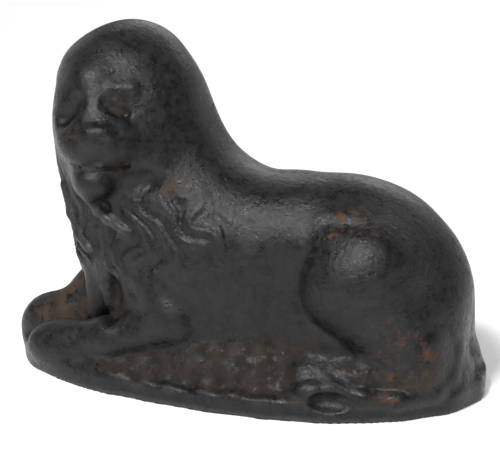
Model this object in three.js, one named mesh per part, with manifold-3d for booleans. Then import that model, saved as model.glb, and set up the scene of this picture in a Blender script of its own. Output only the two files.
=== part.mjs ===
// A recumbent lion cast in one with its oval base. Millimetres, Z up, the underside on zero.
// The body lies along X with the head at -X, and the face looks out over the lion's left side, towards -Y.
// The casting is one field of melted-together forms, below zero inside the metal, meshed as a closed skin.
import * as THREE from "three";
import { mergeVertices } from "three/addons/utils/BufferGeometryUtils.js";
import Module from "manifold-3d";

// The base is an egg in plan: two half ellipses that share their widest line, with a bank of ground on top.
const base = {
  wideX: 13,
  frontReach: 75.5,
  rearReach: 51,
  halfWidth: 31,
  rimHeight: 5.6,
  edgeRadius: 1.4,
  bank: { centre: [9, 0, 2.5], radii: [54, 28.3, 20.5] },
  bankMelt: 3,
  melt: 2.4,
};

const torso = {
  rump: { centre: [27, 0, 25.5], radii: [34, 22, 31.6] },
  barrel: { centre: [-4, 0, 27], radii: [36, 21.5, 29.6], power: 2.4 },
  melt: 8,
};

// The mane is a smooth hood over the head, a slope to the withers and a chest of hanging locks.
const mane = {
  hood: { centre: [-32.2, 3.6, 70.8], radii: [18.9, 17.8, 22.8] },
  nape: { from: [-29.6, 2.5, 65.6], to: [-9, 0, 38], radii: [17.4, 18.8] },
  chest: { from: [-33.6, 0, 58], to: [-31.3, 1, 33], radii: [17, 15.5] },
  hoodMelt: 5,
  melt: 8,
  bodyMelt: 7,
};

// Each lock leans and waves about the neck's axis, and hangs in tiers that end in a fat tip.
// The hair is worn smooth towards the crown and the withers, and ends along a line behind the shoulder.
const locks = {
  axis: [-28, 0],
  count: 24,
  lean: 0.013,
  leanFrom: 0.2,
  leanHeight: 45,
  wave: 0.075,
  waveRate: 0.3,
  wavesRound: 2,
  tipHeight: 34,
  tipDrop: 4,
  tipScatter: 2.6,
  scatterRates: [2.4, 5.3],
  scatterShare: 0.6,
  tierHeight: 14,
  tipSwell: 0.25,
  thinShare: 0.5,
  depth: 1.6,
  sink: 0.25,
  rearX: 2.5,
  rearSlope: 0.1,
  rearFade: [-1.5, 2.5],
  tipFade: [-0.03, 0.09],
  withersHeight: 57,
  crownFade: [50, 64],
  crownShare: 0.93,
  backFade: [44, 54],
  backSlope: 0.35,
  backShare: 0.9,
};

// Face places are forward, left and up from the centre of the head, and a pair is given once for both sides.
const head = {
  centre: [-39.4, -1, 75],
  yaw: THREE.MathUtils.degToRad(17),
  brain: { centre: [2, 0, 2.5], radii: [13, 11, 12.6] },
  muzzle: { centre: [13.5, 0, -8.4], radii: [10.6, 9.4, 6.2], melt: 3 },
  cheek: { centre: [6, 7.8, -5], radii: [8, 3.8, 7.5], melt: 5 },
  brow: { from: [14.4, 3.2, 4.6], to: [11.4, 9.4, 4.2], radii: [1.8, 2], melt: 3 },
  bridge: { from: [12.4, 0, 4], to: [14.8, 0, -7.2], radii: [3, 7.6], melt: 3 },
  socket: { from: [15.6, 3.4, 0.2], to: [14.6, 8.8, -2.4], radii: [1.9, 2.4], melt: 2 },
  eye: { centre: [12, 6.2, -1.2], radii: [2, 2.4, 1.3], melt: 1.2 },
  lip: { centre: [16.6, 4.2, -9.8], radii: [6.4, 5.2, 4.4], melt: 2.5 },
  nose: { centre: [19.6, 0, -5.6], radii: [4, 4.4, 3], power: 2.8, melt: 1.2 },
  gape: { from: [22, 0, -15], to: [13.4, 8.6, -14.6], radii: [1, 1.7], melt: 1 },
  chin: { centre: [13.4, -1, -19.4], radii: [8, 5.5, 4.5], melt: 1 },
  clear: { centre: [12, 0, -14], radii: [13, 10, 10], margin: 4 },
};

// Left is the near side of the casting, at -Y.
const forelegs = {
  left: {
    path: [[-20, -14, 28], [-15, -15.5, 19], [-32, -16.5, 11.6], [-43, -14, 9]],
    radii: [8.5, 8, 5.8, 5.4],
    paw: { centre: [-44.5, -13, 7.4], radii: [12.6, 7, 7.2] },
  },
  right: {
    path: [[-20, 14, 28], [-15, 15.5, 19], [-33, 12, 11.6], [-46, 4, 9]],
    radii: [8.5, 8, 5.8, 5.4],
    paw: { centre: [-51, 1, 7], radii: [13.4, 8.5, 10.6] },
  },
  wrist: { from: [-40, 3, 24], to: [-49, 1, 11], radii: [5.5, 6.5] },
  column: { from: [-38, -8, 34], to: [-38.5, -8, 16], radii: [4, 3.8] },
  slot: { centre: [-32.3, -15, 23.5], radii: [1.7, 7, 6], melt: 1.2 },
  pathMelt: 3,
  pawMelt: 2.5,
  columnMelt: 1.5,
  melt: 2,
};

const haunch = {
  leftThigh: { centre: [37.6, -16, 31.2], radii: [19, 10.8, 17.6], power: 2.6 },
  rightThigh: { centre: [35, 13.5, 27], radii: [18, 10.8, 17.6], power: 2.3 },
  shank: { from: [40, -15, 14], to: [51, -15.5, 11], radii: [6.5, 6] },
  shankMelt: 4,
  foot: { path: [[50, -16, 9], [37, -19, 10], [25, -21, 9.5]], radii: [4.6, 4.2, 4.6], pathMelt: 2, melt: 2 },
  melt: 1.6,
  top: { melt: 7, slope: 0.45, fromX: 40, low: 30, high: 46 },
};

const tail = {
  path: [
    [59, -2, 27],
    [60, -7, 15],
    [58, -12.5, 8],
    [54, -16.8, 6.3],
    [46, -23.3, 5.8],
    [36, -26.8, 7],
    [30, -26.6, 8],
    [23, -26.4, 7.6],
  ],
  radii: [2.6, 2.8, 2.4, 2, 1.9, 1.9, 2, 2.2],
  pathMelt: 1.5,
  tuft: { from: [25, -26.6, 6.8], to: [17.5, -28.2, 4.6], radii: [3, 1.2] },
  hollow: { centre: [30.8, -30.8, 5], radii: [5.4, 2.8, 2.3], melt: 1 },
  melt: 2.6,
};

// The skin's mesh is finest over the face and widest over the hindquarters and the far side: at each place along an
// axis, the size of a cell.
const skin = {
  low: [-67, -34, -3],
  high: [67.5, 34, 97.5],
  length: [[-67, 2.6], [-54, 2.1], [-26, 2.1], [-8, 3], [10, 4.2], [46, 4.2], [56, 2.6]],
  width: [[-34, 2.4], [-10, 2.3], [2, 3.6], [14, 4.4]],
  height: [[-3, 2.6], [12, 2.6], [22, 3.1], [44, 3], [54, 2.1], [84, 2.2], [97, 2.8]],
};

const tiny = 1e-6;
const iron = { color: "#3b3a3a", roughness: 0.45, metalness: 0.6 };

function ramp(value, low, high) {
  const t = Math.min(Math.max((value - low) / (high - low), 0), 1);
  return t * t * (3 - 2 * t);
}

// Distance to a rounded ball with its own radius on each axis; a power above two makes it boxier.
function ball(p, { centre, radii, power = 2 }) {
  const q = p.map((v, i) => Math.abs(v - centre[i]) / radii[i]);
  const size = Math.pow(q.reduce((sum, v) => sum + Math.pow(v, power), 0), 1 / power) + tiny;
  const steep = Math.hypot(...q.map((v, i) => Math.pow(v / size, power - 1) / radii[i])) + tiny;
  return (size - 1) / steep;
}

// Distance to a round limb that tapers from one end to the other.
function limb(p, { from, to, radii }) {
  const along = to.map((v, i) => v - from[i]);
  const out = p.map((v, i) => v - from[i]);
  const length = along.reduce((sum, v) => sum + v * v, 0);
  const share = Math.min(Math.max(out.reduce((sum, v, i) => sum + v * along[i], 0) / length, 0), 1);
  const gap = Math.hypot(...out.map((v, i) => v - share * along[i]));
  return gap - radii[0] - share * (radii[1] - radii[0]);
}

// Union with a fillet of the width given.
function meld(a, b, width) {
  const h = Math.max(width - Math.abs(a - b), 0);
  return Math.min(a, b) - (h * h) / (4 * width);
}

function carve(a, b, width) {
  return -meld(-a, b, width);
}

function pathLimb(p, path, radii, width) {
  let d = Infinity;
  for (let i = 0; i + 1 < path.length; i++) {
    const piece = limb(p, { from: path[i], to: path[i + 1], radii: [radii[i], radii[i + 1]] });
    d = d === Infinity ? piece : meld(d, piece, width);
  }
  return d;
}

function toFace([x, y, z]) {
  const [dx, dy, dz] = [x - head.centre[0], y - head.centre[1], z - head.centre[2]];
  const [s, c] = [Math.sin(head.yaw), Math.cos(head.yaw)];
  return [s * dx - c * dy, c * dx + s * dy, dz];
}

function baseField(p) {
  const x = p[0] - base.wideX;
  const reach = x < 0 ? base.frontReach : base.rearReach;
  const [u, v] = [x / reach, p[1] / base.halfWidth];
  const size = Math.hypot(u, v) + tiny;
  const steep = Math.hypot(u / size / reach, v / size / base.halfWidth) + tiny;
  const out = (size - 1) / steep + base.edgeRadius;
  const up = p[2] - base.rimHeight + base.edgeRadius;
  const slab = Math.min(Math.max(out, up), 0) + Math.hypot(Math.max(out, 0), Math.max(up, 0)) - base.edgeRadius;
  return meld(slab, ball(p, base.bank), base.bankMelt);
}

// How far the locks stand out of the mane at a place.
function lockRelief([x, y, z]) {
  const angle = Math.atan2(x - locks.axis[0], locks.axis[1] - y);
  const lean = locks.lean * Math.cos(angle - locks.leanFrom) * (locks.leanHeight - z);
  const flow = angle - lean - locks.wave * Math.sin(z * locks.waveRate + locks.wavesRound * angle);
  const turn = (flow * locks.count) / (2 * Math.PI);
  const lock = Math.floor(turn);
  const across = 2 * (turn - lock) - 1;
  const back = 1 - across * across;
  const [rateA, rateB] = locks.scatterRates;
  const scatter = locks.tipScatter * (Math.sin(rateA * lock) + locks.scatterShare * Math.sin(rateB * lock + 1));
  const tier = (z - locks.tipHeight + scatter + locks.tipDrop * back) / locks.tierHeight;
  const rise = tier - Math.floor(tier);
  const fat = ramp(rise, 0, locks.tipSwell) * (1 - rise);
  const rear = locks.rearX - locks.rearSlope * (locks.withersHeight - z);
  const cover = ramp(rear - x, ...locks.rearFade) * ramp(tier, ...locks.tipFade);
  const onCrown = 1 - locks.crownShare * ramp(z, ...locks.crownFade);
  const onBack = 1 - locks.backShare * ramp(z + locks.backSlope * x, ...locks.backFade);
  const height = locks.depth * back * (locks.thinShare + (1 - locks.thinShare) * fat) - locks.sink;
  return cover * onCrown * onBack * height;
}

function bodyField(p, q) {
  let d = meld(ball(p, torso.rump), ball(p, torso.barrel), torso.melt);
  let hair = meld(ball(p, mane.hood), ball(q, head.brain), mane.hoodMelt);
  hair = meld(hair, limb(p, mane.nape), mane.melt);
  hair = meld(hair, limb(p, mane.chest), mane.melt);
  d = meld(d, hair, mane.bodyMelt);
  return d - ramp(ball(q, head.clear), 0, head.clear.margin) * lockRelief(p);
}

function faceField(q, body) {
  const pair = [q[0], Math.abs(q[1]), q[2]];
  let d = meld(body, ball(q, head.muzzle), head.muzzle.melt);
  d = meld(d, ball(pair, head.cheek), head.cheek.melt);
  d = meld(d, limb(pair, head.brow), head.brow.melt);
  d = meld(d, limb(q, head.bridge), head.bridge.melt);
  d = carve(d, limb(pair, head.socket), head.socket.melt);
  d = meld(d, ball(pair, head.eye), head.eye.melt);
  d = meld(d, ball(pair, head.lip), head.lip.melt);
  d = meld(d, ball(q, head.nose), head.nose.melt);
  d = carve(d, limb(pair, head.gape), head.gape.melt);
  return meld(d, ball(q, head.chin), head.chin.melt);
}

function forelegField(p) {
  const { left, right } = forelegs;
  const near = meld(pathLimb(p, left.path, left.radii, forelegs.pathMelt), ball(p, left.paw), forelegs.pawMelt);
  let far = meld(limb(p, forelegs.wrist), ball(p, right.paw), forelegs.pathMelt);
  far = meld(far, pathLimb(p, right.path, right.radii, forelegs.pathMelt), forelegs.pathMelt);
  far = meld(far, limb(p, forelegs.column), forelegs.columnMelt);
  return Math.min(near, far);
}

function lionField(p) {
  const q = toFace(p);
  const pair = [p[0], -Math.abs(p[1]), p[2]];
  let d = faceField(q, bodyField(p, q));
  d = meld(d, forelegField(p), forelegs.melt);
  d = carve(d, ball(p, forelegs.slot), forelegs.slot.melt);
  d = meld(d, baseField(p), base.melt);

  // The thigh stands out sharply in front and below, and flows into the croup above.
  const thighs = Math.min(ball(p, haunch.leftThigh), ball(p, haunch.rightThigh));
  const leg = meld(thighs, limb(pair, haunch.shank), haunch.shankMelt);
  const { top } = haunch;
  const flowing = ramp(p[2] + top.slope * (p[0] - top.fromX), top.low, top.high);
  d = meld(d, leg, haunch.melt + top.melt * flowing);
  const { foot } = haunch;
  d = meld(d, pathLimb(pair, foot.path, foot.radii, foot.pathMelt), foot.melt);

  d = meld(d, pathLimb(p, tail.path, tail.radii, tail.pathMelt), tail.melt);
  d = meld(d, limb(p, tail.tuft), tail.melt);
  return carve(d, ball(p, tail.hollow), tail.hollow.melt);
}

// Grid lines from low to high, whose cells change evenly from one stated size to the next.
function gridLines(low, high, sizes) {
  const lines = [low];
  while (lines.at(-1) < high) {
    const here = lines.at(-1);
    const after = sizes.findIndex(([place]) => place > here);
    const [from, to] = after < 0 ? [sizes.at(-1), sizes.at(-1)] : [sizes[after - 1], sizes[after]];
    lines.push(here + THREE.MathUtils.mapLinear(here, from[0], Math.max(to[0], from[0] + 1), from[1], to[1]));
  }
  return lines;
}

// One point for each cell that the skin passes through, and one four-sided face for each grid edge that it crosses.
function skinMesh() {
  const lines = [skin.length, skin.width, skin.height].map((s, axis) => gridLines(skin.low[axis], skin.high[axis], s));
  const [nx, ny, nz] = lines.map((l) => l.length);
  const at = (i, j, k) => (i * ny + j) * nz + k;
  const values = new Float64Array(nx * ny * nz);
  for (let i = 0; i < nx; i++)
    for (let j = 0; j < ny; j++)
      for (let k = 0; k < nz; k++) {
        const rim = i === 0 || j === 0 || k === 0 || i === nx - 1 || j === ny - 1 || k === nz - 1;
        values[at(i, j, k)] = rim ? 1 : lionField([lines[0][i], lines[1][j], lines[2][k]]);
      }

  // A grid face whose corners alternate would pinch the skin, so its shallowest corner changes sides.
  const steps = [at(1, 0, 0), at(0, 1, 0), at(0, 0, 1)];
  for (let pinched = true; pinched; ) {
    pinched = false;
    for (let i = 0; i + 1 < nx; i++)
      for (let j = 0; j + 1 < ny; j++)
        for (let k = 0; k + 1 < nz; k++)
          for (let axis = 0; axis < 3; axis++) {
            const [a, b] = [steps[axis], steps[(axis + 1) % 3]];
            const face = [0, a, a + b, b].map((n) => at(i, j, k) + n);
            const signs = face.map((n) => values[n] < 0);
            if (signs[0] !== signs[2] || signs[1] !== signs[3] || signs[0] === signs[1]) continue;
            const shallow = face.reduce((m, n) => (Math.abs(values[n]) < Math.abs(values[m]) ? n : m));
            values[shallow] *= -1;
            pinched = true;
          }
  }

  // Pockets that the outside can't reach, where forms close over a crease, are solid metal.
  const open = new Uint8Array(values.length);
  const reached = [0];
  open[0] = 1;
  while (reached.length) {
    const here = reached.pop();
    for (const step of [...steps, ...steps.map((n) => -n)]) {
      const next = here + step;
      if (open[next] !== 0 || values[next] < 0) continue;
      open[next] = 1;
      reached.push(next);
    }
  }
  values.forEach((v, n) => {
    if (v >= 0 && !open[n]) values[n] = -tiny;
  });

  const corners = [];
  for (let c = 0; c < 8; c++) corners.push([c & 1, (c >> 1) & 1, (c >> 2) & 1]);
  const pointOf = new Int32Array(nx * ny * nz).fill(-1);
  const points = [];
  for (let i = 0; i + 1 < nx; i++)
    for (let j = 0; j + 1 < ny; j++)
      for (let k = 0; k + 1 < nz; k++) {
        const v = corners.map(([a, b, c]) => values[at(i + a, j + b, k + c)]);
        const inside = v.filter((n) => n < 0).length;
        if (inside === 0 || inside === 8) continue;
        const sum = [0, 0, 0];
        let count = 0;
        for (let a = 0; a < 8; a++)
          for (const bit of [1, 2, 4]) {
            const b = a | bit;
            if (b === a || v[a] < 0 === v[b] < 0) continue;
            const share = v[a] / (v[a] - v[b]);
            [i, j, k].forEach((n, axis) => {
              const [from, to] = [lines[axis][n + corners[a][axis]], lines[axis][n + corners[b][axis]]];
              sum[axis] += from + share * (to - from);
            });
            count++;
          }
        pointOf[at(i, j, k)] = points.length;
        points.push(sum.map((n) => n / count));
      }

  const triangles = [];
  const addFace = (face, outward) => {
    const [a, b, c, d] = outward ? face : [...face].reverse();
    const span = (m, n) => Math.hypot(...points[m].map((v, axis) => v - points[n][axis]));
    triangles.push(...(span(a, c) < span(b, d) ? [a, b, c, a, c, d] : [a, b, d, b, c, d]));
  };
  const rings = [
    [[0, -1, -1], [0, 0, -1], [0, 0, 0], [0, -1, 0]],
    [[-1, 0, -1], [-1, 0, 0], [0, 0, 0], [0, 0, -1]],
    [[-1, -1, 0], [0, -1, 0], [0, 0, 0], [-1, 0, 0]],
  ];
  for (let i = 0; i + 1 < nx; i++)
    for (let j = 0; j + 1 < ny; j++)
      for (let k = 0; k + 1 < nz; k++) {
        const solid = values[at(i, j, k)] < 0;
        rings.forEach((ring, axis) => {
          if (solid === values[at(i, j, k) + steps[axis]] < 0) return;
          addFace(ring.map(([a, b, c]) => pointOf[at(i + a, j + b, k + c)]), solid);
        });
      }
  return { points, triangles };
}

const wasm = await Module();
wasm.setup();

function solidOf(positions, index) {
  return new wasm.Manifold(
    new wasm.Mesh({ numProp: 3, vertProperties: new Float32Array(positions), triVerts: new Uint32Array(index) }),
  );
}

// Everything below the underside is cut away, so the casting stands on a flat face.
const cutter = { span: 200, depth: 20 };
const block = new THREE.BoxGeometry(cutter.span, cutter.span, cutter.depth).translate(0, 0, -cutter.depth / 2);
block.deleteAttribute("normal");
block.deleteAttribute("uv");
const below = mergeVertices(block);
const { points, triangles } = skinMesh();
const casting = solidOf(points.flat(), triangles).subtract(
  solidOf(below.attributes.position.array, below.index.array),
);

const { vertProperties, triVerts } = casting.getMesh();
const geometry = new THREE.BufferGeometry();
geometry.setAttribute("position", new THREE.BufferAttribute(vertProperties, 3));
geometry.setIndex(new THREE.BufferAttribute(triVerts, 1));
geometry.computeVertexNormals();
const figure = new THREE.Mesh(geometry, new THREE.MeshStandardMaterial(iron));
figure.name = "lion_figure";

const lion = new THREE.Group();
lion.name = "recumbent_lion";
lion.add(figure);
export default lion;
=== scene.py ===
import bpy
import numpy as np
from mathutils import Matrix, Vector


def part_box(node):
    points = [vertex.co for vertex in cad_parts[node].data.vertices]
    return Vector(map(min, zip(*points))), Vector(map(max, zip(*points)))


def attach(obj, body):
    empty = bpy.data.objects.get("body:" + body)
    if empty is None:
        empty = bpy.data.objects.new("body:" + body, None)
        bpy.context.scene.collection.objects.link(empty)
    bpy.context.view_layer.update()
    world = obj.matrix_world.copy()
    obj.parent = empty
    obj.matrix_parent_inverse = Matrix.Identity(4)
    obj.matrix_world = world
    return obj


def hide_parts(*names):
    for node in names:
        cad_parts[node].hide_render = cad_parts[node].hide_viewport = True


# A recumbent lion cast in iron in one with its oval base, worn and rusted, on a pale studio floor.
# Lengths of the casting are millimetres in the part's frame, and become metres when its mesh is filled.
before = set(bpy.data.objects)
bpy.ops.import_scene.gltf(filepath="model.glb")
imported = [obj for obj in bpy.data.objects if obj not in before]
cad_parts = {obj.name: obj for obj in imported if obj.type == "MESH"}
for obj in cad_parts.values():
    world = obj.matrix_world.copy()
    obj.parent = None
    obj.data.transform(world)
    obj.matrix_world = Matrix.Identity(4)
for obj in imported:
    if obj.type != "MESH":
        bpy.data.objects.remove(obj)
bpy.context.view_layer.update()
lowCorner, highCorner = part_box("lion_figure")
mm = 0.001
tiny = 1e-6  # keeps a division away from nought
print("frame loaded, casting", [round(v / mm, 1) for v in highCorner - lowCorner], "mm")


# Smooth step: nought below low, one above high, and t*t*(3-2t) of the share between.
def ramp(value, low, high):
    t = np.clip((value - low) / (high - low), 0, 1)
    return t * t * (3 - 2 * t)


# Three values stood upright, so that they meet points held as three rows.
def column(values):
    return np.asarray(values, np.float32)[:, None]


# Rounded ball: the power sum of the offsets over the radii, less one, over its own steepness.
def ball(p, form):
    radii, power = column(form["radii"]), form.get("power", 2)
    q = np.abs(p - column(form["centre"])) / radii
    size = (q ** power).sum(0) ** (1 / power) + tiny
    steep = np.sqrt((((q / size) ** (power - 1) / radii) ** 2).sum(0)) + tiny
    return (size - 1) / steep


# Tapering limb: distance to the nearest place on a line, less the radius carried along that line.
def limb(p, form):
    start = column(form["start"])
    along = column(form["end"]) - start
    out = p - start
    share = np.clip((out * along).sum(0) / (along * along).sum(), 0, 1)
    first, last = form["radii"]
    return np.sqrt(((out - share * along) ** 2).sum(0)) - first - share * (last - first)


# Union with a fillet: the lesser of two distances, less the square of how far they overlap in the width.
def meld(a, b, width):
    overlap = np.maximum(width - np.abs(a - b), 0)
    return np.minimum(a, b) - overlap * overlap / (4 * width)


# Cut with a fillet: the union of the first distance turned inside out, turned back again.
def carve(a, b, width):
    return -meld(-a, b, width)


# Limb along a path: each stretch is a tapering limb, melted into those before it.
def pathLimb(p, form):
    path, radii = form["path"], form["radii"]
    d = None
    for i in range(len(path) - 1):
        piece = limb(p, {"start": path[i], "end": path[i + 1], "radii": radii[i:i + 2]})
        d = piece if d is None else meld(d, piece, form["pathMelt"])
    return d


# Crease round a form about to be melted on: the body sinks by the depth within a width of that form.
def crease(d, form, depth, width):
    return d + depth * np.clip(1 - np.abs(form) / width, 0, 1)


# Even noise of one wavelength: the mean of sines along directions drawn once from a fixed seed.
def lumps(p, wavelength, seed, waves=16):
    draw = np.random.default_rng(seed)
    turns = draw.normal(size=(waves, 3))
    turns *= (2 * np.pi / wavelength) / np.linalg.norm(turns, axis=1, keepdims=True)
    starts = draw.uniform(0, 2 * np.pi, waves)
    return sum(np.sin(t @ p + s) for t, s in zip(turns.astype(np.float32), starts)) / np.sqrt(waves / 2)


# Base: an egg of two half ellipses that share their widest line, with a bank of ground on top.
base = {
    "wideX": 13, "frontReach": 75.5, "rearReach": 51, "halfWidth": 31, "rimHeight": 5.6, "edgeRadius": 1.4,
    "bank": {"centre": (9, 0, 2.5), "radii": (54, 28.3, 20.5)}, "bankMelt": 3, "melt": 2.6,
    "ruck": 0.16, "ruckLength": 8, "ruckSeed": 3, "rimRuck": 0.22, "sideRuck": 0.06,
    "apron": {"centre": (-24, -16, 2), "radii": (21, 9, 8)},
    "sternApron": {"centre": (49, 3, 3), "radii": (13.6, 18, 13)}, "apronMelt": 3,
}


# Slab with a rounded edge: the distances past the egg and past the top, joined as a corner of the edge
# radius, with the bank and its aprons melted on top and all of it rucked by one noise.
def baseField(p):
    x = p[0] - base["wideX"]
    reach = np.where(x < 0, base["frontReach"], base["rearReach"])
    u, v = x / reach, p[1] / base["halfWidth"]
    size = np.hypot(u, v) + tiny
    steep = np.hypot(u / size / reach, v / size / base["halfWidth"]) + tiny
    ruck = lumps(p, base["ruckLength"], base["ruckSeed"])
    out = (size - 1) / steep + base["edgeRadius"] + base["sideRuck"] * ruck
    up = p[2] - base["rimHeight"] + base["edgeRadius"] + base["rimRuck"] * ruck
    corner = np.hypot(np.maximum(out, 0), np.maximum(up, 0))
    slab = np.minimum(np.maximum(out, up), 0) + corner - base["edgeRadius"]
    bank = meld(ball(p, base["bank"]), ball(p, base["apron"]), base["apronMelt"])
    bank = meld(bank, ball(p, base["sternApron"]), base["apronMelt"])
    return meld(slab, bank + base["ruck"] * ruck, base["bankMelt"])


torso = {
    "rump": {"centre": (27, 0, 25.5), "radii": (34, 22, 31.6)},
    "barrel": {"centre": (-4, 0, 27), "radii": (36, 21.5, 29.6), "power": 2.4},
    "melt": 8,
}

# Mane: a smooth hood over the head, a slope to the withers and a chest of hanging locks.
mane = {
    "hood": {"centre": (-32.2, 3.6, 70.8), "radii": (18.9, 17.8, 22.8)},
    "nape": {"start": (-29.6, 2.5, 65.6), "end": (-9, 0, 38), "radii": (17.4, 18.8)},
    "chest": {"start": (-33.6, 0, 58), "end": (-31.3, 1, 33), "radii": (17, 15.5)},
    "farLock": {"centre": (-49.4, 0, 75.5), "radii": (2.6, 3.2, 6), "melt": 2},
    "hoodMelt": 5, "melt": 8, "bodyMelt": 7,
}

locks = {
    "axis": (-28, 0), "count": 24, "lean": 0.013, "leanFrom": 0.2, "leanHeight": 45,
    "wave": 0.09, "waveRate": 0.33, "wavesRound": 2, "stray": 0.055, "strayLength": 9.5, "straySeed": 21,
    "scatterRates": (2.4, 5.3), "scatterShare": 0.6, "scatterStart": 1,
    "tipHeight": 34, "tipDrop": 4, "tipScatter": 2.6, "tierHeight": 14, "tipSwell": 0.3, "thinShare": 0.75,
    "depth": 0.8, "sink": 0.2, "rearX": 2.5, "rearSlope": 0.1, "withersHeight": 57,
    "rearFade": (-1.5, 2.5), "tipFade": (-0.03, 0.09),
    "crownFade": (50, 64), "crownShare": 0.93, "backFade": (44, 54), "backSlope": 0.35, "backShare": 0.9,
    "strands": 3, "strandDepth": 0.16, "strandWave": 0.6, "strandRate": 0.45,
}


# Locks: turns about the neck's axis, leaning and waving with height, cut into locks that hang in tiers.
# Each lock is one less the square of its cross place, fattest above its tip, with strands as a cosine.
def lockRelief(p):
    x, y, z = p
    angle = np.arctan2(x - locks["axis"][0], locks["axis"][1] - y)
    lean = locks["lean"] * np.cos(angle - locks["leanFrom"]) * (locks["leanHeight"] - z)
    flow = angle - lean - locks["wave"] * np.sin(z * locks["waveRate"] + locks["wavesRound"] * angle)
    flow = flow + locks["stray"] * lumps(p, locks["strayLength"], locks["straySeed"])
    turn = flow * locks["count"] / (2 * np.pi)
    lock = np.floor(turn)
    across = 2 * (turn - lock) - 1
    back = 1 - across * across
    slow, fast = locks["scatterRates"]
    uneven = np.sin(slow * lock) + locks["scatterShare"] * np.sin(fast * lock + locks["scatterStart"])
    scatter = locks["tipScatter"] * uneven
    tier = (z - locks["tipHeight"] + scatter + locks["tipDrop"] * back) / locks["tierHeight"]
    rise = tier - np.floor(tier)
    fat = ramp(rise, 0, locks["tipSwell"]) * (1 - rise)
    rear = locks["rearX"] - locks["rearSlope"] * (locks["withersHeight"] - z)
    cover = ramp(rear - x, *locks["rearFade"]) * ramp(tier, *locks["tipFade"])
    onCrown = 1 - locks["crownShare"] * ramp(z, *locks["crownFade"])
    onBack = 1 - locks["backShare"] * ramp(z + locks["backSlope"] * x, *locks["backFade"])
    height = locks["depth"] * back * (locks["thinShare"] + (1 - locks["thinShare"]) * fat) - locks["sink"]
    sway = locks["strandWave"] * np.sin(locks["strandRate"] * z + slow * lock)
    strand = np.cos(np.pi * (locks["strands"] * across + sway))
    return cover * onCrown * onBack * (height + locks["strandDepth"] * strand)


# Head: places are forward, left and up from the centre of the head; a pair is given once for both sides.
head = {
    "centre": (-39.4, -1, 75), "yaw": np.radians(17),
    "brain": {"centre": (2, 0, 2.5), "radii": (13, 11, 12.6)},
    "throat": {"start": (21.5, 7.5, -20), "end": (20.5, 12, -18.5), "radii": (1.8, 1.8), "melt": 4},
    "muzzle": {"centre": (13.5, 0, -8.6), "radii": (10.6, 9.4, 6.4), "melt": 6},
    "cheek": {"centre": (6, 7.8, -5), "radii": (8, 3.8, 7.5), "melt": 5},
    "brow": {"start": (14.6, 3, 4.3), "end": (15, 8.4, 4.7), "radii": (1.6, 1.2), "melt": 2},
    "bridge": {"start": (10.2, -1.4, 4.4), "end": (13.8, 0, -7.2), "radii": (5.4, 8.8), "melt": 4},
    "upperLid": {"centre": (12.8, 6.6, 1.9), "radii": (3, 4.2, 2.2), "melt": 2},
    "socket": {"start": (18.3, 2, 1.2), "end": (17.7, 6.8, -1.4), "radii": (1, 1.1), "melt": 1.6},
    "farSocket": {"start": (17, -6.6, 1.6), "end": (15.3, -9, -3.2), "radii": (1.8, 2), "melt": 3},
    "lid": {"start": (15.2, 4, -1.8), "end": (15, 7.2, -3.4), "radii": (1.3, 1.1), "melt": 2},
    "lip": {"centre": (16.4, 4.2, -9.8), "radii": (6.4, 5.2, 4.4), "melt": 4},
    "nose": {"centre": (20.4, 0, -6.2), "radii": (4.2, 4.4, 3.4), "power": 3, "melt": 0.8},
    "gape": {"start": (22, 0, -15), "end": (20, 7.4, -14.3), "radii": (0.6, 0.7), "melt": 1},
    "chin": {"centre": (14.6, -1.4, -19), "radii": (9, 6, 5), "power": 2.3, "melt": 3},
    "lipRim": {"start": (22.4, 0.4, -13.4), "end": (15.2, -8.2, -12.6), "radii": (0.8, 0.7), "melt": 0.8},
    "clear": {"centre": (12, 0, -14), "radii": (13, 10, 10), "margin": 4},
}


# Turn about the head's upright axis by the yaw, after moving its centre to nought.
def toFace(p):
    dx, dy, dz = p - column(head["centre"])
    s, c = np.float32(np.sin(head["yaw"])), np.float32(np.cos(head["yaw"]))
    return np.stack([s * dx - c * dy, c * dx + s * dy, dz])


# Bold tresses that hang from the chin and down the front of the chest.
tresses = {
    "melt": 1.6,
    "paths": [
        {"path": [(-36, -20, 52), (-35, -17.6, 47.4), (-32, -17.6, 45), (-27.8, -18.2, 42.6)],
         "radii": (1.6, 1.3, 1.2, 0.8), "pathMelt": 1.5},
        {"path": [(-47, -9.6, 51), (-44.8, -10.6, 44), (-42.3, -12, 39), (-38.8, -15, 35.6)],
         "radii": (1, 1.3, 1.3, 0.9), "pathMelt": 1.5},
    ],
}


# Body: rump and barrel melt together, then hood, head, nape, chest and the far lock melt on as hair.
# The locks' height is taken off the distance, away from the muzzle, and the tresses come last.
def bodyField(p, q):
    d = meld(ball(p, torso["rump"]), ball(p, torso["barrel"]), torso["melt"])
    hair = meld(ball(p, mane["hood"]), ball(q, head["brain"]), mane["hoodMelt"])
    hair = meld(hair, limb(p, mane["nape"]), mane["melt"])
    hair = meld(hair, limb(p, mane["chest"]), mane["melt"])
    hair = meld(hair, ball(p, mane["farLock"]), mane["farLock"]["melt"])
    d = meld(d, hair, mane["bodyMelt"])
    d = d - ramp(ball(q, head["clear"]), 0, head["clear"]["margin"]) * lockRelief(p)
    for tress in tresses["paths"]:
        d = meld(d, pathLimb(p, tress), tresses["melt"])
    return d


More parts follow.
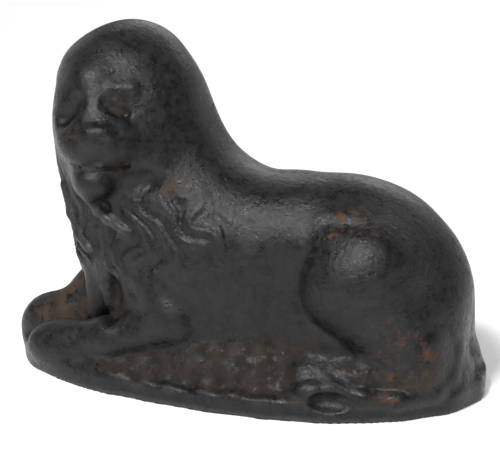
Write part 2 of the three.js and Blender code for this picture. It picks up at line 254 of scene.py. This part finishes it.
# Face: each feature in turn is melted on or carved out with its own fillet.
def faceField(q, d):
    pair = np.stack([q[0], np.abs(q[1]), q[2]])
    steps = [
        ("throat", limb, q, carve), ("muzzle", ball, q, meld), ("cheek", ball, pair, meld),
        ("bridge", limb, q, meld), ("brow", limb, q, meld), ("upperLid", ball, q, meld),
        ("socket", limb, q, carve), ("farSocket", limb, q, carve), ("lid", limb, q, meld),
        ("lip", ball, pair, meld), ("nose", ball, q, meld), ("gape", limb, pair, carve),
        ("chin", ball, q, meld), ("lipRim", limb, q, meld),
    ]
    for name, shape, place, join in steps:
        d = join(d, shape(place, head[name]), head[name]["melt"])
    return d


forelegs = {
    "near": {"path": [(-20, -12.8, 28), (-15, -15.3, 19), (-32, -16.5, 12.2), (-43, -14, 9)],
             "radii": (8.5, 8, 5.5, 5.4), "pathMelt": 3},
    "nearPaw": {"centre": (-44.5, -13, 7.4), "radii": (12.6, 7, 7.2)},
    "far": {"path": [(-20, 14, 28), (-15, 15.5, 19), (-33, 12, 12), (-46, 4, 9)],
            "radii": (8.5, 8, 5.5, 5.4), "pathMelt": 3},
    "farPaw": {"centre": (-51, 1, 7), "radii": (13.4, 8.5, 10.6)},
    "wrist": {"start": (-40, 3, 24), "end": (-49, 1, 11), "radii": (5.5, 6.5)},
    "column": {"start": (-38, -8, 34), "end": (-38.5, -8, 16), "radii": (4, 3.8)},
    "slot": {"centre": (-31.6, -17.6, 23), "radii": (2.3, 4.6, 6.5), "melt": 2.4},
    "pawMelt": 2.5, "columnMelt": 1.5, "creaseDepth": 0.5, "creaseWidth": 2.4, "melt": 1.2,
}


# Forelegs: each arm melts into its paw, the far one also into its wrist and column, and the lesser of the
# two distances counts.
def forelegField(p):
    near = meld(pathLimb(p, forelegs["near"]), ball(p, forelegs["nearPaw"]), forelegs["pawMelt"])
    far = meld(limb(p, forelegs["wrist"]), ball(p, forelegs["farPaw"]), forelegs["pawMelt"])
    far = meld(far, pathLimb(p, forelegs["far"]), forelegs["pawMelt"])
    return np.minimum(near, meld(far, limb(p, forelegs["column"]), forelegs["columnMelt"]))


haunch = {
    "nearThigh": {"start": (34.8, -17.8, 32.4), "end": (46.5, -18.5, 17.5), "radii": (16.4, 10)},
    "squash": (1, 1.25, 1),  # the near thigh is a limb flattened across the body
    "farThigh": {"centre": (35, 13.5, 27), "radii": (18, 10.8, 17.6), "power": 2.3},
    "shank": {"start": (40, -15, 14), "end": (51, -15.5, 11), "radii": (6.5, 6)}, "shankMelt": 4,
    "foot": {"path": [(50, -16, 9), (36.5, -19.6, 9.8), (23, -21.8, 8.6)],
             "radii": (4.6, 4.3, 4.7), "pathMelt": 2},
    "waist": {"centre": (15.5, -27.5, 30), "radii": (6, 7.2, 19), "melt": 7},
    "loin": {"start": (25.5, -17.8, 50.2), "end": (37, -18.6, 51), "radii": (1.6, 1.6), "melt": 2.5},
    "stern": {"start": (47, -6, 24), "end": (51.4, -6, 9), "radii": (11, 9.8), "melt": 5},
    "footMelt": 3, "melt": 1.2, "topMelt": 7, "topSlope": 0.45, "topX": 40, "topFade": (30, 46),
    "creaseDepth": 0.6, "creaseWidth": 2.6,
}

tail = {
    "lash": {"path": [(55, -3, 26), (56.8, -8, 15), (56.8, -12, 9.2), (54.6, -16.8, 6.6),
                      (46.2, -22.8, 5.4), (38, -25, 6.2), (31, -25.2, 8), (23, -26.8, 7.4)],
             "radii": (2.6, 2.8, 2.5, 2.4, 2.2, 2.1, 2.1, 2.3), "pathMelt": 2},
    "tuft": {"start": (25, -26.6, 6.8), "end": (17.5, -28.2, 4.6), "radii": (3, 1.2)},
    "hollow": {"centre": (30.8, -29.2, 5.6), "radii": (6, 3.2, 2.9), "melt": 1},
    "melt": 1.5,
}

casting = {
    "cell": 0.66, "quickCell": 1.1, "margin": 2.0, "block": 5, "reach": 4.2,
    "lumpHeight": 0.10, "lumpLength": 13, "lumpSeed": 11, "settles": 2, "settleMost": 0.4,
    "sweeps": 40, "cellsBelow": 1.5, "footHeight": 0.2,
}


# The whole casting, below nought inside the metal: body, face, forelegs, base, haunches and tail in turn,
# less the skin's own lumps, and never below the underside.
def lionField(p):
    q = toFace(p)
    pair = np.stack([p[0], -np.abs(p[1]), p[2]])
    d = faceField(q, bodyField(p, q))
    legs = forelegField(p)
    d = meld(crease(d, legs, forelegs["creaseDepth"], forelegs["creaseWidth"]), legs, forelegs["melt"])
    d = carve(d, ball(p, forelegs["slot"]), forelegs["slot"]["melt"])
    d = meld(d, baseField(p), base["melt"])
    d = carve(d, ball(p, haunch["waist"]), haunch["waist"]["melt"])
    nearThigh = limb(p * column(haunch["squash"]), haunch["nearThigh"])
    thighs = np.minimum(nearThigh, ball(p, haunch["farThigh"]))
    leg = meld(thighs, limb(pair, haunch["shank"]), haunch["shankMelt"])
    flowing = ramp(p[2] + haunch["topSlope"] * (p[0] - haunch["topX"]), *haunch["topFade"])
    d = crease(d, leg, haunch["creaseDepth"] * (1 - flowing) ** 2, haunch["creaseWidth"])
    d = meld(d, leg, haunch["melt"] + haunch["topMelt"] * flowing)
    d = meld(d, limb(pair, haunch["stern"]), haunch["stern"]["melt"])
    d = carve(d, limb(p, haunch["loin"]), haunch["loin"]["melt"])
    d = meld(d, pathLimb(pair, haunch["foot"]), haunch["footMelt"])
    d = meld(d, pathLimb(p, tail["lash"]), tail["melt"])
    d = meld(d, limb(p, tail["tuft"]), tail["melt"])
    d = carve(d, ball(p, tail["hollow"]), tail["hollow"]["melt"])
    d = d - casting["lumpHeight"] * lumps(p, casting["lumpLength"], casting["lumpSeed"])
    return np.maximum(d, -p[2])


# A field for many points, in batches that stay in the processor's cache.
def fieldOf(field, points, batch=60000):
    parts = np.array_split(points.astype(np.float32), max(1, len(points) // batch))
    return np.concatenate([field(part.T) for part in parts])


# The whole casting's field for many points.
def fieldAt(points):
    return fieldOf(lionField, points)


# Outward direction: the field's differences over a short step on each axis, made unit length.
def outward(points, step=0.25):
    sides = [fieldAt(points + step * axis) - fieldAt(points - step * axis) for axis in np.eye(3)]
    slope = np.stack(sides, 1) / (2 * step)
    steep = np.linalg.norm(slope, axis=1, keepdims=True) + tiny
    return slope / steep, steep[:, 0]


# Field values on a lattice, worked out only in blocks whose middle is near the skin.
def latticeValues(lines, block):
    count = [len(line) // block for line in lines]
    middles = np.stack(np.meshgrid(*[line[block // 2::block] for line in lines], indexing="ij"), -1)
    far = fieldAt(middles.reshape(-1, 3)).reshape(count)
    values = far.repeat(block, 0).repeat(block, 1).repeat(block, 2)
    near = (np.abs(values) < casting["reach"]).nonzero()
    values[near] = fieldAt(np.stack([line[n] for line, n in zip(lines, near)], 1))
    return values


# A lattice face whose corners alternate would pinch the skin, so its shallowest corner changes sides.
def unpinch(values):
    cut = [slice(None, -1), slice(1, None)]
    for sweep in range(casting["sweeps"]):
        flips = 0
        for a, b in ((0, 1), (1, 2), (2, 0)):
            views = []
            for i, j in ((0, 0), (1, 0), (1, 1), (0, 1)):
                pick = [slice(None)] * 3
                pick[a], pick[b] = cut[i], cut[j]
                views.append(values[tuple(pick)])
            signs = [v < 0 for v in views]
            bad = (signs[0] == signs[2]) & (signs[1] == signs[3]) & (signs[0] != signs[1])
            shallow = np.argmin(np.abs(np.stack([v[bad] for v in views])), 0)
            where = np.stack(bad.nonzero(), 1)
            where[:, a] += np.isin(shallow, (1, 2))
            where[:, b] += np.isin(shallow, (2, 3))
            where = np.unique(where, axis=0)
            values[tuple(where.T)] *= -1
            flips += len(where)
        if not flips:
            break
    return values


# A single grid of two parameters can't carry one casting whose limbs, mane and ground melt together,
# so the skin is drawn from the field: each lattice cell it passes through gives one point, the mean of
# where it crosses the cell's edges, and each lattice edge it crosses gives one four-sided face.
def drawSkin(cell):
    low = np.array(lowCorner) / mm - casting["margin"]
    high = np.array(highCorner) / mm + casting["margin"]
    low[2] = -casting["cellsBelow"] * cell
    block = casting["block"]
    counts = (np.ceil((high - low) / (cell * block)).astype(int) + 1) * block
    lines = [l + cell * np.arange(n) for l, n in zip(low, counts)]
    values = unpinch(latticeValues(lines, block))
    corners = np.array([[c & 1, c >> 1 & 1, c >> 2 & 1] for c in range(8)])
    inside = values < 0
    span = [slice(None, -1), slice(1, None)]
    filled = sum(inside[span[a], span[b], span[c]].astype(int) for a, b, c in corners)
    cells = np.stack(((filled > 0) & (filled < 8)).nonzero(), 1)
    at = [values[tuple((cells + corner).T)] for corner in corners]
    total, crossings = np.zeros((len(cells), 3)), np.zeros(len(cells))
    for a in range(8):
        for b in (a | 1, a | 2, a | 4):
            if a == b:
                continue
            crossed = (at[a] < 0) != (at[b] < 0)
            share = np.where(crossed, at[a] / np.where(crossed, at[a] - at[b], 1), 0)[:, None]
            total += crossed[:, None] * (corners[a] + share * (corners[b] - corners[a]))
            crossings += crossed
    points = low + cell * (cells + total / crossings[:, None])
    order = np.full(filled.shape, -1)
    order[tuple(cells.T)] = np.arange(len(cells))
    faces = []
    for axis in range(3):
        one, two = np.eye(3, dtype=int)[(axis + 1) % 3], np.eye(3, dtype=int)[(axis + 2) % 3]
        pick = [slice(None)] * 3
        pick[axis] = span[0]
        first = inside[tuple(pick)]
        pick[axis] = span[1]
        crossed = np.stack((first != inside[tuple(pick)]).nonzero(), 1)
        ring = np.stack([order[tuple((crossed - step).T)] for step in (one + two, two, 0 * one, one)], 1)
        solid = first[tuple(crossed.T)]
        faces.append(np.where(solid[:, None], ring, ring[:, ::-1]))
    return points, np.concatenate(faces)


# Islands: every point takes the lowest number among its neighbours until none changes.
def largestIsland(points, faces):
    ends = np.concatenate([faces[:, [i, (i + 1) % 4]] for i in range(4)])
    label = np.arange(len(points))
    while True:
        lowest = label[ends].min(1)
        fresh = label.copy()
        np.minimum.at(fresh, ends[:, 0], lowest)
        np.minimum.at(fresh, ends[:, 1], lowest)
        fresh = fresh[fresh]
        if (fresh == label).all():
            break
        label = fresh
    names, sizes = np.unique(label, return_counts=True)
    keep = label == names[sizes.argmax()]
    number = np.cumsum(keep) - 1
    print("islands", len(names), "points dropped", int((~keep).sum()))
    return points[keep], number[faces[keep[faces[:, 0]]]]


cell = casting["cell"]
skin, faces = largestIsland(*drawSkin(cell))
for settle in range(casting["settles"]):
    normals, steep = outward(skin)
    move = np.clip(fieldAt(skin) / steep, -casting["settleMost"], casting["settleMost"])
    skin = skin - move[:, None] * normals
skin[skin[:, 2] < casting["footHeight"], 2] = 0
print("skin", len(skin), "points", 2 * len(faces), "triangles")

# Weathering, and the hollows and ridges that the iron turns into painted shade and painted highlight,
# worked out once for each point of the skin and read by the iron as attributes.
# Rust places are where, how wide, how thick and how warm, from brown at nought to orange at one.
weather = {
    "normalStep": 0.6, "hollowSteps": (1.2, 2.6, 5.0), "wornStep": 2.2,
    "groundRust": 1.4, "groundWarmth": 0.1, "groundSkin": (0.9, 0.2), "groundHeight": (4.6, 6.4),
    "patchLength": 5, "patchShare": 0.3, "patchSeed": 31, "warmthShare": 0.1, "warmthSeed": 32,
    "dryShare": 0.7, "dampGain": 2,
    "rustPlaces": [
        ((-51, -2, 17), 17, 1.3, 0.45), ((-54, -13, 9), 8, 0.6, 0.5), ((-30, -16, 22), 9, 0.9, 0.1),
        ((-21, -22, 8), 12, 0.6, 0.3), ((2, -21, 15), 11, 0.6, 0.4), ((13, -24, 12), 12, 0.7, 0.5),
        ((22, -22, 16), 10, 0.6, 0.3), ((29, -18, 50.5), 5, 1.1, 1), ((35, -17.5, 52), 7, 0.9, 0.75),
        ((53, -18, 18), 6, 1, 1), ((54, -20, 12), 9, 0.75, 0.6), ((44, -22, 10), 10, 0.8, 0.6),
        ((46, -25, 22), 8, 0.6, 0.8), ((31, -22, 11), 13, 0.8, 0.05), ((-14, -16, 56), 6, 0.75, 0.6),
        ((-28, -18, 60.5), 8, 0.9, 0.05), ((-32, -16, 75), 6, 0.85, 0.35), ((-46, -13, 75), 7, 0.8, 0.3),
        ((-38, -22, 66), 10, 0.6, 0.3), ((-30, -25, 66), 12, 0.5, 0.15), ((-8, 0, 57), 9, 0.6, 0.5),
        ((0, 24, 12), 20, 0.7, 0.3), ((45, 22, 12), 13, 0.8, 0.6), ((-45, 12, 10), 12, 0.7, 0.5),
    ],
}
normals = outward(skin, weather["normalStep"])[0]
# Hollow: the mean share by which the field fails to grow on walking outward. It holds more rust, and the
# iron darkens it as painted shade.
hollow = np.mean([1 - fieldAt(skin + s * normals) / s for s in weather["hollowSteps"]], axis=0)
# Ridges: the share by which the field fails to fall on walking inward, high on ridges and edges, where the
# iron turns paler, partly as bare metal from wear and partly as a painted highlight.
worn = 1 + fieldAt(skin - weather["wornStep"] * normals) / weather["wornStep"]
# Rust: each place's thickness fades to its edge, and the warmth is the places' mean weighted by thickness.
centres, widths, depths, warmths = zip(*weather["rustPlaces"])
near = [1 - np.linalg.norm(skin - c, axis=1) / r for c, r in zip(centres, widths)]
thick = np.stack([t * ramp(n, 0, 1) for t, n in zip(depths, near)])
warmth = np.array(warmths) @ thick / (thick.sum(0) + tiny)
rust = thick.max(0)
# Ground: the top of the base holds damp, so its own skin rusts all over, and the rim's side stays black.
ground = ramp(fieldOf(baseField, skin), *weather["groundSkin"]) * ramp(skin[:, 2], *weather["groundHeight"])
warmth = np.where(ground * weather["groundRust"] > rust, weather["groundWarmth"], warmth)
rust = np.maximum(rust, ground * weather["groundRust"])
# Patches: hollows hold more rust than ridges, and noise of one wavelength breaks the patches up.
damp = (1 - weather["dryShare"]) * weather["dampGain"] * np.clip(hollow, 0, 1)
rust = rust * (weather["dryShare"] + damp)
rows = skin.T.astype(np.float32)
rust = rust * (1 + weather["patchShare"] * lumps(rows, weather["patchLength"], weather["patchSeed"]))
warmth = warmth + weather["warmthShare"] * lumps(rows, weather["patchLength"], weather["warmthSeed"])

mesh = bpy.data.meshes.new("lionCasting")
mesh.from_pydata((skin * mm).tolist(), [], faces.tolist())
mesh.polygons.foreach_set("use_smooth", np.ones(len(faces), bool))
for name, values in (("hollow", hollow), ("worn", worn), ("rust", rust), ("warmth", warmth)):
    layer = mesh.attributes.new(name, "FLOAT", "POINT")
    layer.data.foreach_set("value", np.clip(values, 0, 1).astype(np.float32))
mesh.update()
lion = bpy.data.objects.new("lionCasting", mesh)
bpy.context.scene.collection.objects.link(lion)
print("lion casting made")


# sRGB hex to linear: each channel over 255, then the power 2.4 curve with its straight foot.
def linear(hexText):
    share = np.array([int(hexText[i:i + 2], 16) for i in (1, 3, 5)]) / 255
    curve = np.where(share < 0.04045, share / 12.92, ((share + 0.055) / 1.055) ** 2.4)
    return (*curve.tolist(), 1.0)


# Adds a node: settings go to sockets or properties of that name, links come from other nodes' outputs.
def addNode(material, kind, settings, links):
    node = material.node_tree.nodes.new(kind)
    for name, value in settings.items():
        if isinstance(name, int) or name in node.inputs:
            node.inputs[name].default_value = value
        else:
            setattr(node, name, value)
    for name, source in links.items():
        material.node_tree.links.new(source, node.inputs[name])
    return node


# Waxed cast iron: a black oxide skin, dull and grainy from the sand mould, painted darker in its hollows as
# shade and paler on ridges, as bare metal from wear and as a painted highlight, and turning to matt brown
# and orange rust where damp has lain.
iron = {
    "oxide": "#0e0e0f", "pale": "#242425", "hollowShade": "#080707", "wearAndGlint": "#424243",
    "brown": "#1c1611", "tan": "#3d3228", "orange": "#5a341e",
    "roughness": (0.21, 0.46), "rustRoughness": 0.8, "specular": 0.34,
    "blotch": 3.0, "grain": 1.4, "rustBreak": 2.2, "noiseDetail": 6, "noiseRoughness": 0.68,
    "grainHeight": 0.36, "grainStrength": 0.8, "rustWeight": 0.55,
    "blotchLimits": (0.35, 0.68), "hollowLimits": (0.2, 0.9), "wornLimits": (0.12, 0.5),
    "speckLimits": (0.3, 0.7), "rustLimits": (0.66, 1.05), "tanLimits": (0, 0.5), "orangeLimits": (0.5, 1),
}
castIron = bpy.data.materials.new("waxedCastIron")
castIron.use_nodes = True
castIron.node_tree.nodes.clear()


# Share of a value between two limits, held from nought to one.
def shareOf(value, limits):
    span = {"From Min": limits[0], "From Max": limits[1]}
    return addNode(castIron, "ShaderNodeMapRange", span, {"Value": value}).outputs["Result"]


# Noise of one real wavelength on the casting's own coordinates.
def noiseOf(wavelength):
    settings = {"Scale": 1 / (wavelength * mm), "Detail": iron["noiseDetail"],
                "Roughness": iron["noiseRoughness"]}
    return addNode(castIron, "ShaderNodeTexNoise", settings, {"Vector": place}).outputs["Fac"]


# Blend of a colour, a node's or a fixed one, towards another by an amount.
def blend(amount, first, second):
    tones = {"Color1": first, "Color2": second}
    fixed = {name: linear(tone) for name, tone in tones.items() if isinstance(tone, str)}
    linked = {name: tone for name, tone in tones.items() if name not in fixed}
    return addNode(castIron, "ShaderNodeMixRGB", fixed, {"Fac": amount, **linked}).outputs["Color"]


place = addNode(castIron, "ShaderNodeTexCoord", {}, {}).outputs["Object"]
share = {name: addNode(castIron, "ShaderNodeAttribute", {"attribute_name": name}, {}).outputs["Fac"]
         for name in ("hollow", "worn", "rust", "warmth")}
noise = {name: noiseOf(iron[name]) for name in ("blotch", "grain", "rustBreak")}
# Skin: blotches of oxide, painted shade darkening the hollows towards near black, and a paler colour on
# ridges that is partly bare metal from wear and partly a painted highlight.
cloud = shareOf(noise["blotch"], iron["blotchLimits"])
tone = blend(cloud, iron["oxide"], iron["pale"])
# Painted shade: the hollows blend towards a near-black colour.
shadedHollows = blend(shareOf(share["hollow"], iron["hollowLimits"]), tone, iron["hollowShade"])
# Painted highlight and wear: ridges, broken by grain, blend towards a paler grey.
broken = addNode(castIron, "ShaderNodeMath", {"operation": "MULTIPLY"},
                 {0: share["worn"], 1: noise["grain"]})
wearAndGlint = blend(shareOf(broken.outputs[0], iron["wornLimits"]), shadedHollows, iron["wearAndGlint"])
# Rust: its thickness, weighted, plus specks of noise, so that patches break up towards their edges.
specks = shareOf(noise["rustBreak"], iron["speckLimits"])
rustEdge = addNode(castIron, "ShaderNodeMath", {"operation": "MULTIPLY_ADD", 1: iron["rustWeight"]},
                   {0: share["rust"], 2: specks})
rusting = shareOf(rustEdge.outputs[0], iron["rustLimits"])
tanTone = blend(shareOf(share["warmth"], iron["tanLimits"]), iron["brown"], iron["tan"])
rustTone = blend(shareOf(share["warmth"], iron["orangeLimits"]), tanTone, iron["orange"])
skinTone = blend(rusting, wearAndGlint, rustTone)
# Sheen: the wax is patchy with the blotches, and rust is matt.
waxed, bare = iron["roughness"]
dull = addNode(castIron, "ShaderNodeMapRange", {"To Min": waxed, "To Max": bare}, {"Value": cloud})
rough = addNode(castIron, "ShaderNodeMapRange", {"To Max": iron["rustRoughness"]},
                {"Value": rusting, "To Min": dull.outputs["Result"]})
bump = addNode(castIron, "ShaderNodeBump",
               {"Strength": iron["grainStrength"], "Distance": iron["grainHeight"] * mm},
               {"Height": noise["grain"]})
shader = addNode(castIron, "ShaderNodeBsdfPrincipled",
                 {"Metallic": 0.0, "Specular IOR Level": iron["specular"]},
                 {"Base Color": skinTone, "Roughness": rough.outputs["Result"],
                  "Normal": bump.outputs["Normal"]})
addNode(castIron, "ShaderNodeOutputMaterial", {}, {"Surface": shader.outputs["BSDF"]})
lion.data.materials.append(castIron)
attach(lion, "root")
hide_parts("lion_figure")
print("cast iron finished")

# Floor: a plain pale sheet under the casting, far wider than the view. Matt paper with a faint emission of
# its own, a painted glow that whitens it and lifts its shadows, gives the eye an even ground without glare.
floor = {"halfSide": 3.0, "colour": "#f8f8f8", "roughness": 0.9, "paintedGlow": 0.22}
sheet = bpy.data.meshes.new("paleFloor")
side = floor["halfSide"]
outline = [(-side, -side, 0), (side, -side, 0), (side, side, 0), (-side, side, 0)]
sheet.from_pydata(outline, [], [(0, 1, 2, 3)])
paleFloor = bpy.data.objects.new("paleFloor", sheet)
paper = bpy.data.materials.new("mattPaper")
paper.use_nodes = True
paperShader = paper.node_tree.nodes["Principled BSDF"]
paperShader.inputs["Base Color"].default_value = linear(floor["colour"])
paperShader.inputs["Roughness"].default_value = floor["roughness"]
# Painted glow: the paper emits a little light of its own.
paperShader.inputs["Emission Color"].default_value = linear(floor["colour"])
paperShader.inputs["Emission Strength"].default_value = floor["paintedGlow"]
sheet.materials.append(paper)
bpy.context.scene.collection.objects.link(paleFloor)

# Studio light: a box high in front, a weak fill by the camera, and a back light and a strip on each side
# for the bright contours.
middle = (Vector(lowCorner) + Vector(highCorner)) / 2
lights = {
    "overhead": {"place": (-0.08, -0.48, 0.65), "size": (0.16, 0.12), "watts": 6.3},
    "fill": {"place": (0.10, -0.85, 0.32), "size": (0.5, 0.4), "watts": 0.5},
    "back": {"place": (0.05, 0.85, 0.50), "size": (0.7, 0.4), "watts": 2.8},
    "leftStrip": {"place": (-0.60, 0.55, 0.30), "size": (0.3, 0.7), "watts": 0.5},
    "rightStrip": {"place": (0.60, 0.65, 0.34), "size": (0.3, 0.7), "watts": 0.7},
}
for name, lamp in lights.items():
    data = bpy.data.lights.new(name, "AREA")
    data.shape = "RECTANGLE"
    data.energy = lamp["watts"]
    data.size, data.size_y = lamp["size"]
    box = bpy.data.objects.new(name, data)
    box.location = lamp["place"]
    box.rotation_euler = (middle - Vector(lamp["place"])).to_track_quat("-Z", "Y").to_euler()
    bpy.context.scene.collection.objects.link(box)
studio = {"colour": "#ffffff", "strength": 0.16}
world = bpy.data.worlds.new("studio")
world.use_nodes = True
walls = world.node_tree.nodes["Background"]
walls.inputs["Color"].default_value = linear(studio["colour"])
walls.inputs["Strength"].default_value = studio["strength"]
bpy.context.scene.world = world
bpy.context.scene.view_settings.view_transform = "Standard"
print("floor and lights placed")

# Camera: looks at a place near the middle of the casting, from the side that the face looks to.
view = {"azimuth": np.radians(16), "elevation": np.radians(18), "distance": 0.62,
        "target": (0.001, 0, 0.0415), "scale": 3.8, "imageWidth": 500, "sensor": 36.0}
target = Vector(view["target"])
away = Vector((np.sin(view["azimuth"]) * np.cos(view["elevation"]),
               -np.cos(view["azimuth"]) * np.cos(view["elevation"]), np.sin(view["elevation"])))
cameraData = bpy.data.cameras.new("camera")
cameraData.sensor_width = view["sensor"]
cameraData.lens = view["distance"] / mm * view["scale"] * view["sensor"] / view["imageWidth"]
camera = bpy.data.objects.new("camera", cameraData)
camera.location = target + view["distance"] * away
camera.rotation_euler = (-away).to_track_quat("-Z", "Y").to_euler()
bpy.context.scene.collection.objects.link(camera)
bpy.context.scene.camera = camera
print("camera placed")
